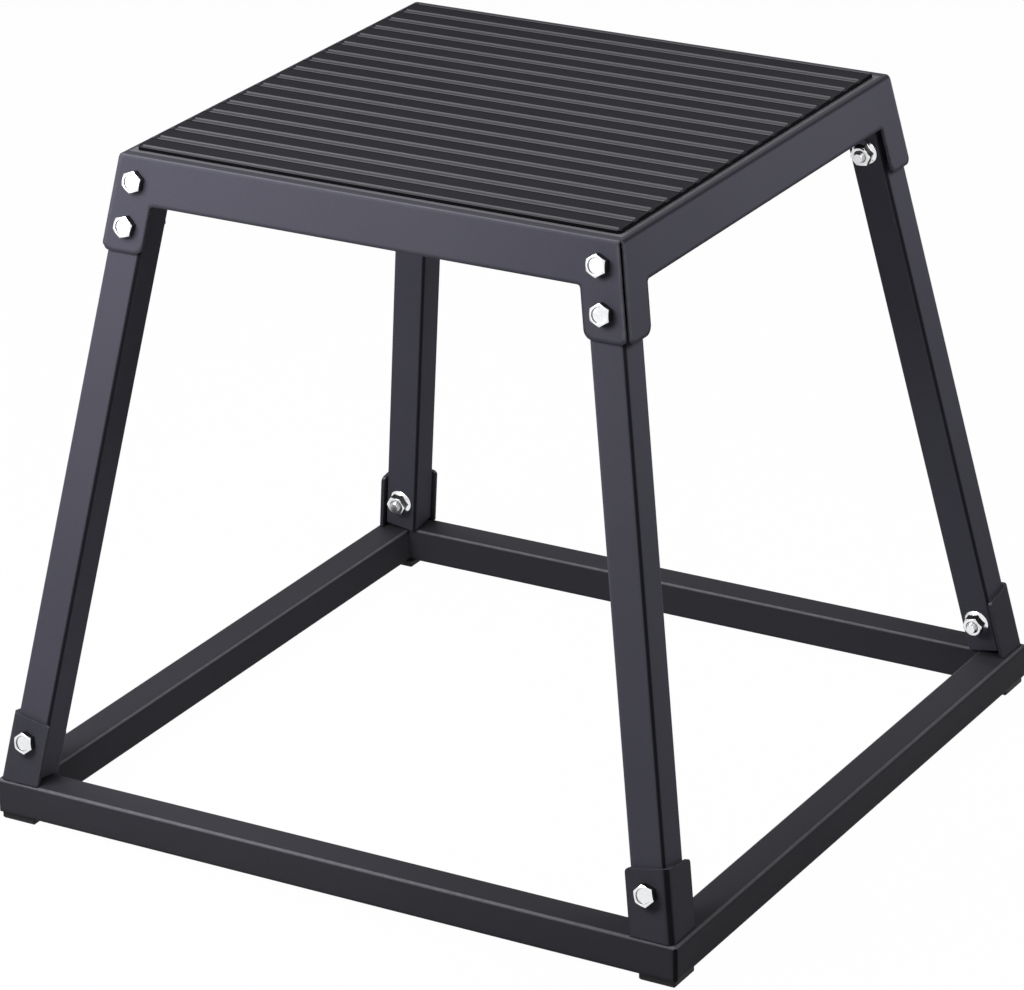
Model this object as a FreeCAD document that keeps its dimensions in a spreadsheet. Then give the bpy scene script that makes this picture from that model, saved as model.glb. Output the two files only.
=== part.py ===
import FreeCAD, Part
import math
import os
import re
import Sketcher

# Plyo box: a square steel deck on four inward-leaning tube legs and a square tube base.
# Millimetres and degrees. Origin on the floor under the middle, +Z up, the front faces -Y.

doc = FreeCAD.newDocument("plyo_box")
sheet = doc.addObject("Spreadsheet::Sheet", "Sizes")

# Driving sizes
DRIVING = {
    "deck_width": 365.0,            # square deck over the sharp top edges
    "deck_rise": 424.5,             # deck surface above the base rails
    "sheet_thickness": 2.0,
    "bend_radius": 3.0,             # outer radius of the deck's folds
    "skirt_depth": 30.4,            # down the slope between the ears
    "ear_depth": 63.0,              # down the slope at the ears
    "end_ear_width": 31.5,          # on the front and rear skirts
    "side_ear_width": 27.5,         # on the left and right skirts
    "ear_corner_radius": 7.0,       # lower corner away from the seam
    "ear_seam_radius": 4.0,         # lower corner at the seam
    "ear_root_radius": 2.5,
    "seam_gap": 0.6,                # slit between neighbouring skirts
    "base_width": 511.0,            # square base over the rails
    "base_margin": 1.2,             # skirt's slope run down to the rails, back from their outer face
    "base_corner_radius": 3.5,      # ground upright corners of the base
    "tube_size": 25.0,
    "tube_wall": 2.0,
    "tube_radius": 3.0,
    "leg_side_clearance": 2.3,      # leg to the side skirt beside it
    "leg_top_gap": 7.0,             # highest corner of a leg below the deck surface
    "bracket_thickness": 2.5,
    "bracket_side_clearance": 0.5,  # leg to the side plate of its bracket
    "bracket_width": 30.0,
    "bracket_rise": 47.5,           # outer corner of a bracket above the rails
    "bracket_bend_radius": 5.0,
    "bracket_corner_radius": 3.0,
    "foot_size": 26.0,
    "foot_height": 4.5,
    "foot_inset": 2.0,              # foot back from the rails' outer faces
    "foot_corner_radius": 1.5,
    "foot_chamfer": 1.2,
    "mat_width": 350.0,
    "mat_length": 342.0,
    "mat_thickness": 3.0,
    "mat_corner_radius": 2.0,
    "bar_count": 17,
    "groove_width": 7.0,
    "groove_depth": 0.8,
    "groove_wall_run": 0.8,         # sloping wall of a groove, seen from above
    "bolt_diameter": 8.0,
    "hole_clearance": 0.3,          # gap all round a bolt
    "head_flats": 13.0,
    "head_height": 5.3,
    "head_chamfer": 0.6,
    "head_dish_depth": 0.5,
    "head_dish_rim": 1.4,
    "bolt_tip_chamfer": 0.9,
    "bolt_end_reach": 2.5,          # bolt end beyond its nut
    "nut_height": 8.0,
    "flange_diameter": 17.8,
    "flange_edge": 1.1,
    "flange_crown": 2.6,            # height at which the flange meets the hexagon
    "deck_bolt_depth": 16.0,        # upper bolt below the deck edge, down the slope
    "deck_bolt_spacing": 30.0,      # along the leg
    "base_bolt_rise": 29.2,         # base bolt above the rails
}

# Sizes that follow from the driving ones
DERIVED = {
    "lean_run": "base_width / 2 - base_margin - deck_width / 2",
    "lean_angle": "atan(lean_run / deck_rise) / 1 deg",
    "lean_sine": "sin(lean_angle)",
    "lean_cosine": "cos(lean_angle)",
    "edge_stretch": "sqrt(1 + lean_sine^2)",
    "rail_top": "foot_height + tube_size",
    "deck_top": "rail_top + deck_rise",
    "bend_setback": "bend_radius * tan((90 - lean_angle) / 2)",
    "plate_half": "deck_width / 2 - bend_setback",
    "skirt_end_inset": "sheet_thickness + seam_gap",
    "hole_radius": "bolt_diameter / 2 + hole_clearance",
    "leg_half": "tube_size / 2",
    "leg_axis_inset": "sheet_thickness / lean_cosine + leg_side_clearance + leg_half * edge_stretch",
    "leg_axis_depth": "sheet_thickness + leg_half",
    "leg_corner_lift": "leg_half * lean_sine * (1 + lean_cosine / edge_stretch)",
    "leg_top_slope": "(leg_top_gap + leg_corner_lift - leg_axis_depth * lean_sine) / lean_cosine",
    "leg_foot_slope": "(deck_rise - leg_corner_lift - leg_axis_depth * lean_sine) / lean_cosine",
    "leg_length": "(leg_foot_slope - leg_top_slope) * edge_stretch",
    "deck_hole_upper": "(leg_foot_slope - deck_bolt_depth) * edge_stretch",
    "deck_hole_lower": "deck_hole_upper - deck_bolt_spacing",
    "deck_bolt_depth_lower": "deck_bolt_depth + deck_bolt_spacing / edge_stretch",
    "base_bolt_slope": "(deck_rise - base_bolt_rise) / lean_cosine",
    "base_hole": "(leg_foot_slope - base_bolt_slope) * edge_stretch",
    "bracket_front": "leg_half + bracket_thickness",
    "bracket_side": "bracket_front + bracket_side_clearance",
    "bracket_lift": "(bracket_front + bracket_side * lean_cosine / edge_stretch) * lean_sine",
    "bracket_top": "(bracket_rise - leg_corner_lift - bracket_lift) * edge_stretch / lean_cosine",
    "bracket_foot": "(leg_corner_lift + bracket_lift) * edge_stretch / lean_cosine",
    "head_corner": "head_flats / sqrt(3)",
    "deck_shank": "sheet_thickness + tube_size + nut_height + bolt_end_reach",
    "base_shank": "bracket_thickness + tube_size + nut_height + bolt_end_reach",
}

for row, (alias, number) in enumerate(DRIVING.items(), start=1):
    sheet.set(f"A{row}", alias)
    sheet.set(f"B{row}", str(number))
    sheet.setAlias(f"B{row}", alias)
doc.recompute()
for row, (alias, formula) in enumerate(DERIVED.items(), start=len(DRIVING) + 1):
    sheet.set(f"A{row}", alias)
    sheet.set(f"B{row}", "=" + formula)
    sheet.setAlias(f"B{row}", alias)
    doc.recompute()

ALIASES = set(DRIVING) | set(DERIVED)
PARTS = []
EDGE_MATCH = 1e-4


def bound(formula):
    """The formula with every size name pointing at the sheet."""
    return re.sub(r"[a-z_]+", lambda m: "Sizes." + m[0] if m[0] in ALIASES else m[0], formula)


def value(formula):
    return float(sheet.evalExpression(formula))


def drive(item, field, formula):
    item.setExpression(field, bound(formula))


# Sketch helpers
def origin_item(body, role):
    return next(item for item in body.Origin.OriginFeatures if item.Role == role)


def new_sketch(body, name, plane):
    sketch = body.newObject("Sketcher::SketchObject", name)
    sketch.AttachmentSupport = [(origin_item(body, plane), "")]
    sketch.MapMode = "FlatFace"
    return sketch


def constrain(sketch, kind, *where, formula=None):
    if formula is None:
        sketch.addConstraint(Sketcher.Constraint(kind, *where))
        return
    index = sketch.addConstraint(Sketcher.Constraint(kind, *where, value(formula)))
    name = f"size_{index}"
    sketch.renameConstraint(index, name)
    drive(sketch, "Constraints." + name, formula)


def pin(sketch, shape, end, x, y):
    """Hold one point of a sketch at two formulas."""
    for kind, axis, formula in (("DistanceX", -2, x), ("DistanceY", -1, y)):
        if formula == "0":
            constrain(sketch, "PointOnObject", shape, end, axis)
        else:
            constrain(sketch, kind, -1, 1, shape, end, formula=formula)


def circle(sketch, x, y, radius):
    ring = Part.Circle(FreeCAD.Vector(value(x), value(y), 0), FreeCAD.Vector(0, 0, 1), value(radius))
    shape = sketch.addGeometry(ring)
    pin(sketch, shape, 3, x, y)
    constrain(sketch, "Radius", shape, formula=radius)


def outline(sketch, corners):
    """A closed outline of straight sides. A corner is (x, y) or (x, y, radius), all formulas."""
    spots = [FreeCAD.Vector(value(corner[0]), value(corner[1]), 0) for corner in corners]
    count = len(spots)
    area = sum(spots[i - 1].cross(spots[i]).z for i in range(count))
    if area < 0:
        corners = corners[::-1]
        spots = spots[::-1]
    enter = []
    leave = []
    for i, spot in enumerate(spots):
        before = (spots[i - 1] - spot).normalize()
        after = (spots[(i + 1) % count] - spot).normalize()
        radius = value(corners[i][2]) if len(corners[i]) == 3 else 0
        reach = radius / math.tan(before.getAngle(after) / 2)
        enter.append(spot + before * reach)
        leave.append(spot + after * reach)
    sides = [sketch.addGeometry(Part.LineSegment(leave[i - 1], enter[i])) for i in range(count)]
    for i, corner in enumerate(corners):
        side_in = sides[i]
        side_out = sides[(i + 1) % count]
        if len(corner) == 2:
            constrain(sketch, "Coincident", side_in, 2, side_out, 1)
            pin(sketch, side_out, 1, corner[0], corner[1])
        else:
            round_corner(sketch, corner, spots[i], enter[i], leave[i], side_in, side_out)


def round_corner(sketch, corner, spot, enter, leave, side_in, side_out):
    """Join two sides by a tangent arc; the sharp corner they would have stays held."""
    radius = value(corner[2])
    inward = (enter + leave - spot * 2).normalize()
    centre = spot + inward * math.hypot(radius, (enter - spot).Length)
    left_turn = (spot - enter).cross(leave - spot).z > 0
    first, last = (enter, leave) if left_turn else (leave, enter)
    start = math.atan2(first.y - centre.y, first.x - centre.x)
    sweep = (math.atan2(last.y - centre.y, last.x - centre.x) - start) % (2 * math.pi)
    ring = Part.Circle(centre, FreeCAD.Vector(0, 0, 1), radius)
    arc = sketch.addGeometry(Part.ArcOfCircle(ring, start, start + sweep))
    near, far = (1, 2) if left_turn else (2, 1)
    constrain(sketch, "Tangent", side_in, 2, arc, near)
    constrain(sketch, "Tangent", arc, far, side_out, 1)
    constrain(sketch, "Radius", arc, formula=corner[2])
    sharp = sketch.addGeometry(Part.Point(spot), True)
    constrain(sketch, "PointOnObject", sharp, 1, side_in)
    constrain(sketch, "PointOnObject", sharp, 1, side_out)
    pin(sketch, sharp, 1, corner[0], corner[1])


def rectangle(sketch, left, right, low, high, radius=None):
    rounding = () if radius is None else (radius,)
    outline(sketch, [(left, low) + rounding, (right, low) + rounding,
                     (right, high) + rounding, (left, high) + rounding])


def hexagon(sketch):
    outline(sketch, [("head_corner", "0"), ("head_corner / 2", "head_flats / 2"),
                     ("-head_corner / 2", "head_flats / 2"), ("-head_corner", "0"),
                     ("-head_corner / 2", "-head_flats / 2"), ("head_corner / 2", "-head_flats / 2")])


# Feature helpers
def new_body(label):
    body = doc.addObject("PartDesign::Body", label)
    body.Label = label
    body.AllowCompound = True
    PARTS.append(body)
    return body


def feature(body, kind, sketch, name, length=None, side="One side", back=False):
    item = body.newObject("PartDesign::" + kind, name)
    item.Profile = sketch
    item.SideType = side
    item.Reversed = back
    drive(item, "Length", length)
    doc.recompute()
    return item


def turned(body, kind, sketch, name):
    """A full turn of a profile about the upright axis of its sketch."""
    item = body.newObject("PartDesign::" + kind, name)
    item.Profile = sketch
    item.ReferenceAxis = (sketch, ["V_Axis"])
    item.Angle = 360
    doc.recompute()
    return item


def row_of(body, originals, name, axis, length, count, back=False):
    item = body.newObject("PartDesign::LinearPattern", name)
    item.Originals = originals
    item.Direction = (origin_item(body, axis), [""])
    item.Reversed = back
    drive(item, "Length", length)
    drive(item, "Occurrences", count)
    body.Tip = item
    doc.recompute()
    return item


def ring_of(body, originals, name, count):
    item = body.newObject("PartDesign::PolarPattern", name)
    item.Originals = originals
    item.Axis = (origin_item(body, "Z_Axis"), [""])
    item.Angle = 360
    item.Occurrences = count
    body.Tip = item
    doc.recompute()
    return item


def dress(body, kind, base, name, field, formula, chosen):
    """Fillet or chamfer the edges of a feature for which the test holds."""
    edges = [f"Edge{i}" for i, edge in enumerate(base.Shape.Edges, start=1) if chosen(edge)]
    item = body.newObject("PartDesign::" + kind, name)
    item.Base = (base, edges)
    drive(item, field, formula)
    doc.recompute()
    return item


# Frames on the leaning faces
def lean_axes(side, end):
    """Along-the-leg and inward directions of the leg at side (-1 left) and end (-1 front)."""
    sine = value("lean_sine")
    cosine = value("lean_cosine")
    along = FreeCAD.Vector(-side * sine, -end * sine, cosine).normalize()
    inward = FreeCAD.Vector(0, -end * cosine, -sine)
    return along, inward


def leg_line(side, end, slope, depth):
    """Point of a leg's middle line, down the slope from the deck edge and in from the skirt's face."""
    x = value(f"deck_width / 2 + {slope} * lean_sine - leg_axis_inset")
    y = value(f"deck_width / 2 + {slope} * lean_sine - {depth} * lean_cosine")
    z = value(f"deck_top - {slope} * lean_cosine - {depth} * lean_sine")
    return FreeCAD.Vector(side * x, end * y, z)


def leg_frame(side, end):
    """Frame at a leg's foot: z up the leg, y inward."""
    along, inward = lean_axes(side, end)
    turn = FreeCAD.Rotation(inward.cross(along), inward, along, "ZYX")
    return FreeCAD.Placement(leg_line(side, end, "leg_foot_slope", "leg_axis_depth"), turn)


def bolt_frame(side, end, slope, depth, outward):
    """Frame of a fastener: y up the leg, z out of the face it lies on."""
    along, inward = lean_axes(side, end)
    normal = -inward if outward else inward
    turn = FreeCAD.Rotation(along.cross(normal), along, normal, "ZYX")
    return FreeCAD.Placement(leg_line(side, end, slope, depth), turn)


# Deck pan: flat plate, four folds, four sloped skirts with ears
def skirt(body, name, plane, ear_width, bolted):
    sketch = new_sketch(body, name + "_outline", plane)
    tilt = FreeCAD.Rotation(FreeCAD.Vector(-1, 0, 0), value("lean_angle"))
    sketch.AttachmentOffset = FreeCAD.Placement(FreeCAD.Vector(0, 0, value("deck_width / 2")), tilt)
    drive(sketch, "AttachmentOffset.Base.z", "deck_width / 2")
    drive(sketch, "AttachmentOffset.Rotation.Angle", "lean_angle")

    def edge_x(slope, inset):
        return f"(deck_width / 2 + {slope} * lean_sine - {inset})"

    right = [(edge_x("bend_setback", "skirt_end_inset"), "-bend_setback"),
             (edge_x("ear_depth", "skirt_end_inset"), "-ear_depth", "ear_seam_radius"),
             (edge_x("ear_depth", ear_width), "-ear_depth", "ear_corner_radius"),
             (edge_x("skirt_depth", ear_width), "-skirt_depth", "ear_root_radius")]
    left = [("-" + corner[0],) + corner[1:] for corner in right[::-1]]
    outline(sketch, right + left)
    if bolted:
        for slope in ("deck_bolt_depth", "deck_bolt_depth_lower"):
            for sign in ("", "-"):
                circle(sketch, sign + edge_x(slope, "leg_axis_inset"), "-" + slope, "hole_radius")
    plate = feature(body, "Pad", sketch, name, "sheet_thickness", back=True)
    return ring_of(body, [plate], name + "_pair", 2)


def deck_pan():
    body = new_body("deck_pan")
    top = new_sketch(body, "top_outline", "XY_Plane")
    rectangle(top, "-plate_half", "plate_half", "-plate_half", "plate_half")
    feature(body, "Pad", top, "top_plate", "sheet_thickness", back=True)

    fold = new_sketch(body, "fold_section", "YZ_Plane")
    inner_radius = "(bend_radius - sheet_thickness)"
    corners = [("-plate_half", "0"),
               ("-(plate_half + bend_radius * lean_cosine)", "-bend_radius * (1 - lean_sine)"),
               (f"-(plate_half + {inner_radius} * lean_cosine)",
                f"-bend_radius + {inner_radius} * lean_sine"),
               ("-plate_half", "-sheet_thickness")]
    spots = [FreeCAD.Vector(value(x), value(y), 0) for x, y in corners]
    centre = FreeCAD.Vector(value("-plate_half"), value("-bend_radius"), 0)
    start = math.radians(90)
    stop = math.radians(180 - value("lean_angle"))
    upright = FreeCAD.Vector(0, 0, 1)
    outer_ring = Part.Circle(centre, upright, value("bend_radius"))
    inner_ring = Part.Circle(centre, upright, value(inner_radius))
    outer = fold.addGeometry(Part.ArcOfCircle(outer_ring, start, stop))
    lower = fold.addGeometry(Part.LineSegment(spots[1], spots[2]))
    inner = fold.addGeometry(Part.ArcOfCircle(inner_ring, start, stop))
    upper = fold.addGeometry(Part.LineSegment(spots[3], spots[0]))
    constrain(fold, "Coincident", outer, 2, lower, 1)
    constrain(fold, "Coincident", lower, 2, inner, 2)
    constrain(fold, "Coincident", inner, 1, upper, 1)
    constrain(fold, "Coincident", upper, 2, outer, 1)
    for shape, end, corner in ((upper, 2, 0), (lower, 1, 1), (lower, 2, 2), (upper, 1, 3)):
        pin(fold, shape, end, *corners[corner])
    constrain(fold, "Radius", outer, formula="bend_radius")
    constrain(fold, "Radius", inner, formula=inner_radius)
    folded = feature(body, "Pad", fold, "fold", "2 * plate_half", side="Symmetric")
    ring_of(body, [folded], "folds", 4)

    skirt(body, "end_skirt", "XZ_Plane", "end_ear_width", bolted=True)
    skirt(body, "side_skirt", "YZ_Plane", "side_ear_width", bolted=False)
    body.Placement.Base.z = value("deck_top")


# Tread mat: flat bars between shallow grooves, with half a groove at the front and rear edges
def tread_mat():
    body = new_body("tread_mat")
    plan = new_sketch(body, "mat_outline", "XY_Plane")
    rectangle(plan, "-mat_width / 2", "mat_width / 2", "-mat_length / 2", "mat_length / 2",
              "mat_corner_radius")
    feature(body, "Pad", plan, "mat_sheet", "mat_thickness")
    section = new_sketch(body, "groove_section", "YZ_Plane")
    middle = "-mat_length / 2"
    outline(section, [(f"{middle} - groove_width / 2", "mat_thickness"),
                      (f"{middle} - groove_width / 2 + groove_wall_run", "mat_thickness - groove_depth"),
                      (f"{middle} + groove_width / 2 - groove_wall_run", "mat_thickness - groove_depth"),
                      (f"{middle} + groove_width / 2", "mat_thickness")])
    groove = feature(body, "Pocket", section, "groove", "2 * mat_width", side="Symmetric")
    row_of(body, [groove], "grooves", "Y_Axis", "mat_length", "bar_count + 1")
    body.Placement.Base.z = value("deck_top")


# Leg: square tube with cross holes for two deck bolts and one base bolt
def leg(label, side, end):
    body = new_body(label)
    section = new_sketch(body, "leg_section", "XY_Plane")
    rectangle(section, "-leg_half", "leg_half", "-leg_half", "leg_half", "tube_radius")
    bore = "(leg_half - tube_wall)"
    rectangle(section, "-" + bore, bore, "-" + bore, bore, "tube_radius - tube_wall")
    feature(body, "Pad", section, "leg_tube", "leg_length")
    holes = new_sketch(body, "leg_holes", "XZ_Plane")
    for height in ("base_hole", "deck_hole_lower", "deck_hole_upper"):
        circle(holes, "0", height, "hole_radius")
    feature(body, "Pocket", holes, "bolt_holes", "2 * tube_size", side="Symmetric")
    body.Placement = leg_frame(side, end)


# Base rail: square tube with mitred ends; the base's upright corners are ground round
def base_rail(label, turn):
    body = new_body(label)
    section = new_sketch(body, "rail_section", "YZ_Plane")
    rectangle(section, "-base_width / 2", "-base_width / 2 + tube_size", "0", "tube_size", "tube_radius")
    rectangle(section, "-base_width / 2 + tube_wall", "-base_width / 2 + tube_size - tube_wall",
              "tube_wall", "tube_size - tube_wall", "tube_radius - tube_wall")
    feature(body, "Pad", section, "rail_tube", "base_width", side="Symmetric")
    mitres = new_sketch(body, "mitre_cuts", "XY_Plane")
    inner = "(base_width / 2 - 2 * tube_size)"
    outer = "(base_width / 2 + tube_size)"
    for sign in ("", "-"):
        outline(mitres, [(sign + inner, "-" + inner), (sign + outer, "-" + outer),
                         (sign + outer, "-" + inner)])
    feature(body, "Pocket", mitres, "mitres", "tube_size", back=True)
    corners = new_sketch(body, "corner_rounds", "XY_Plane")
    rectangle(corners, "-" + outer, outer, "-" + outer, outer)
    half = "base_width / 2"
    rectangle(corners, "-" + half, half, "-" + half, half, "base_corner_radius")
    feature(body, "Pocket", corners, "rounded_corners", "tube_size", back=True)
    body.Placement = FreeCAD.Placement(FreeCAD.Vector(0, 0, value("foot_height")),
                                       FreeCAD.Rotation(FreeCAD.Vector(0, 0, 1), turn))


# Base bracket: bent plate round a leg's foot, cut square above and level with the rails below
def base_bracket(label, side, end):
    body = new_body(label)
    frame = leg_frame(side, end)
    out = "" if side * end < 0 else "-"
    section = new_sketch(body, "bracket_section", "XY_Plane")
    side_face = "(bracket_side - bracket_thickness)"
    front_end = "(bracket_side - bracket_width)"
    side_end = "bracket_width - bracket_front"
    outline(section, [(out + "bracket_side", "-bracket_front", "bracket_bend_radius"),
                      (out + "bracket_side", side_end),
                      (out + side_face, side_end),
                      (out + side_face, "-leg_half", "bracket_bend_radius - bracket_thickness"),
                      (out + front_end, "-leg_half"),
                      (out + front_end, "-bracket_front")])
    angle = feature(body, "Pad", section, "bracket_angle", "bracket_top", side="Two sides")
    drive(angle, "Length2", "bracket_foot")
    doc.recompute()
    top = value("bracket_top")
    thickness = value("bracket_thickness")

    def free_top_corner(edge):
        level = all(abs(point.Z - top) < EDGE_MATCH for point in edge.Vertexes)
        return level and abs(edge.Length - thickness) < EDGE_MATCH

    dress(body, "Fillet", angle, "bracket_corners", "Radius", "bracket_corner_radius", free_top_corner)
    hole = new_sketch(body, "bracket_hole", "XZ_Plane")
    circle(hole, "0", "base_hole", "hole_radius")
    feature(body, "Pocket", hole, "bolt_hole", "tube_size", back=True)
    trim = new_sketch(body, "rail_level", "XY_Plane")
    half = value("base_width / 2")
    corner = FreeCAD.Vector(side * half, end * half, value("rail_top"))
    trim.AttachmentOffset = frame.inverse().multiply(FreeCAD.Placement(corner, FreeCAD.Rotation()))
    reach = "3 * bracket_width"
    rectangle(trim, "-" + reach, reach, "-" + reach, reach)
    feature(body, "Pocket", trim, "level_cut", "bracket_rise")
    body.Placement = frame


# Foot: square rubber pad with a chamfered lower edge
def foot(label, side, end):
    body = new_body(label)
    plan = new_sketch(body, "foot_outline", "XY_Plane")
    half = "foot_size / 2"
    rectangle(plan, "-" + half, half, "-" + half, half, "foot_corner_radius")
    pad = feature(body, "Pad", plan, "foot_pad", "foot_height")
    dress(body, "Chamfer", pad, "foot_chamfer_edge", "Size", "foot_chamfer",
          lambda edge: max(abs(point.Z) for point in edge.Vertexes) < EDGE_MATCH)
    place = value("base_width / 2 - foot_inset - foot_size / 2")
    body.Placement.Base = FreeCAD.Vector(side * place, end * place, 0)


# Hexagon bolts: dished head with chamfered corners, plain shank with a chamfered tip
def bolts(label, frame, shank_length, count):
    body = new_body(label)
    plan = new_sketch(body, "head_outline", "XY_Plane")
    hexagon(plan)
    head = feature(body, "Pad", plan, "head", "head_height")
    cuts = new_sketch(body, "head_cuts", "XZ_Plane")
    dish = "(head_flats / 2 - head_dish_rim)"
    outline(cuts, [("0", "head_height - head_dish_depth"),
                   (dish + " - head_dish_depth", "head_height - head_dish_depth"),
                   (dish, "head_height"), ("0", "head_height")])
    outline(cuts, [("head_flats / 2 - head_chamfer / 2", "head_height"),
                   ("head_corner + head_chamfer", "head_height"),
                   ("head_corner + head_chamfer", "head_height - head_chamfer * 2")])
    dished = turned(body, "Groove", cuts, "head_shape")
    stem = new_sketch(body, "shank_section", "XZ_Plane")
    radius = "bolt_diameter / 2"
    outline(stem, [("0", "0"), ("0", "-" + shank_length),
                   (radius + " - bolt_tip_chamfer", "-" + shank_length),
                   (radius, "bolt_tip_chamfer - " + shank_length), (radius, "0")])
    shank = turned(body, "Revolution", stem, "shank")
    if count > 1:
        row_of(body, [head, dished, shank], "bolt_row", "Y_Axis", "deck_bolt_spacing", str(count),
               back=True)
    body.Placement = frame


# Flange nuts: conical flange under a hexagon, plain bore with a gap round the bolt
def nuts(label, frame, count):
    body = new_body(label)
    plan = new_sketch(body, "nut_outline", "XY_Plane")
    hexagon(plan)
    block = feature(body, "Pad", plan, "nut_block", "nut_height")
    cuts = new_sketch(body, "nut_cuts", "XZ_Plane")
    outline(cuts, [("head_flats / 2 - head_chamfer / 2", "nut_height"),
                   ("head_corner + head_chamfer", "nut_height"),
                   ("head_corner + head_chamfer", "nut_height - head_chamfer * 2")])
    crowned = turned(body, "Groove", cuts, "nut_shape")
    disc = new_sketch(body, "flange_section", "XZ_Plane")
    outline(disc, [("hole_radius", "0"), ("flange_diameter / 2", "0"),
                   ("flange_diameter / 2", "flange_edge"),
                   ("head_flats / 2", "flange_crown"), ("hole_radius", "flange_crown")])
    flange = turned(body, "Revolution", disc, "flange")
    bore = new_sketch(body, "nut_bore", "XY_Plane")
    circle(bore, "0", "0", "hole_radius")
    opened = feature(body, "Pocket", bore, "bore", "nut_height", back=True)
    if count > 1:
        row_of(body, [block, crowned, flange, opened], "nut_row", "Y_Axis", "deck_bolt_spacing",
               str(count), back=True)
    body.Placement = frame


deck_pan()
tread_mat()
leg_inner_face = "(leg_axis_depth + leg_half)"
bracket_face = "(sheet_thickness - bracket_thickness)"
for end_name, end in (("front", -1), ("rear", 1)):
    for side_name, side in (("left", -1), ("right", 1)):
        corner = f"{end_name}_{side_name}"
        leg(f"leg_{corner}", side, end)
        base_bracket(f"base_bracket_{corner}", side, end)
        foot(f"foot_{corner}", side, end)
        bolts(f"deck_bolts_{corner}",
              bolt_frame(side, end, "deck_bolt_depth", "0", True), "deck_shank", 2)
        nuts(f"deck_nuts_{corner}",
             bolt_frame(side, end, "deck_bolt_depth", leg_inner_face, False), 2)
        bolts(f"base_bolt_{corner}",
              bolt_frame(side, end, "base_bolt_slope", bracket_face, True), "base_shank", 1)
        nuts(f"base_nut_{corner}",
             bolt_frame(side, end, "base_bolt_slope", leg_inner_face, False), 1)
rail_names = ("front", "right", "rear", "left")
for step, rail_name in enumerate(rail_names):
    base_rail(f"base_rail_{rail_name}", step * 360 / len(rail_names))

doc.recompute()

# Every object must be sound before anything is written
for item in doc.Objects:
    if {"Invalid", "Error"} & set(item.State):
        raise RuntimeError(f"{item.Label}: {item.State}")
os.makedirs("parts", exist_ok=True)
for body in PARTS:
    if body.Shape.isNull() or not body.Shape.isValid():
        raise RuntimeError(f"{body.Label}: no valid shape")
    body.Shape.exportStep(f"parts/{body.Label}.step")
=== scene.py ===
import math

import bmesh
import bpy
from mathutils import Matrix, Vector


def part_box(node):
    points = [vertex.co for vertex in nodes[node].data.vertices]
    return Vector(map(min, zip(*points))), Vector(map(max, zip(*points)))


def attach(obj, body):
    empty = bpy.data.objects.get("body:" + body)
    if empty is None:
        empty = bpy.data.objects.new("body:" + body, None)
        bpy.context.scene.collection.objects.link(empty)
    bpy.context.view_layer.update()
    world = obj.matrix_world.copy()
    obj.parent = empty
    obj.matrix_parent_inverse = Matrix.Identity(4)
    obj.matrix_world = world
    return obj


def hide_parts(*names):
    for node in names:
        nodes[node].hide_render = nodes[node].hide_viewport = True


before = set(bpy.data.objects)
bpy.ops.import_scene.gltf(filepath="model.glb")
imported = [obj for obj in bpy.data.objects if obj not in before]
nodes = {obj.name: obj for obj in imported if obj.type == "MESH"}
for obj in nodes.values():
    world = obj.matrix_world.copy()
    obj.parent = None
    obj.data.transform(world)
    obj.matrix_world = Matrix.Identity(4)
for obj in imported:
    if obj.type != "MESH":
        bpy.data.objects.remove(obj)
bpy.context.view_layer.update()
mm = 0.001


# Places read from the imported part
same_level = 0.01 * mm
mat_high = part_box("tread_mat")[1]
mat_points = [vert.co for vert in nodes["tread_mat"].data.vertices]
mat_levels = sorted({round(point.z, 6) for point in mat_points})
bar_top = mat_levels[-1]
groove_floor = mat_levels[-2]
bar_edges = sorted({round(point.y, 5) for point in mat_points if abs(point.z - bar_top) < same_level})
bar_pitch = bar_edges[2] - bar_edges[0]
bar_width = bar_edges[1] - bar_edges[0]


# Node helpers
def add_node(tree, kind, inputs=None, **settings):
    """A new node; each input gets a plain value or a link from another node's socket."""
    item = tree.nodes.new(kind)
    for name, setting in settings.items():
        setattr(item, name, setting)
    for socket, given in (inputs or {}).items():
        if isinstance(given, bpy.types.NodeSocket):
            tree.links.new(given, item.inputs[socket])
        else:
            item.inputs[socket].default_value = given
    return item


def new_group(name, inputs, outputs):
    """An empty shader node group; inputs is {name: default}, outputs is {name: socket type}."""
    group = bpy.data.node_groups.new(name, "ShaderNodeTree")
    for socket, default in inputs.items():
        made = group.interface.new_socket(socket, in_out="INPUT", socket_type="NodeSocketFloat")
        made.default_value = default
    for socket, kind in outputs.items():
        group.interface.new_socket(socket, in_out="OUTPUT", socket_type=kind)
    entry = group.nodes.new("NodeGroupInput")
    leave = group.nodes.new("NodeGroupOutput")
    return group, entry.outputs, leave


def math_node(tree, operation, first, second=0.0, clamp=False):
    return add_node(tree, "ShaderNodeMath", {0: first, 1: second},
                    operation=operation, use_clamp=clamp).outputs[0]


def product(tree, first, second):
    return math_node(tree, "MULTIPLY", first, second)


def larger(tree, first, second):
    return math_node(tree, "MAXIMUM", first, second)


def remap(tree, value, low, high, to_low, to_high):
    return add_node(tree, "ShaderNodeMapRange",
                    {"Value": value, "From Min": low, "From Max": high,
                     "To Min": to_low, "To Max": to_high}).outputs["Result"]


def ramp(tree, value, none, full):
    """0 at one value, 1 at the other."""
    return remap(tree, value, none, full, 0.0, 1.0)


def window(tree, value, opens, full, fades, closed):
    """1 from full to fades, 0 outside opens and closed."""
    return product(tree, ramp(tree, value, opens, full), ramp(tree, value, closed, fades))


def noise(tree, coords, scale, detail=2.0, roughness=0.5):
    return add_node(tree, "ShaderNodeTexNoise",
                    {"Vector": coords, "Scale": scale, "Detail": detail,
                     "Roughness": roughness}).outputs["Fac"]


def object_coords(tree):
    return add_node(tree, "ShaderNodeTexCoord").outputs["Object"]


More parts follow.
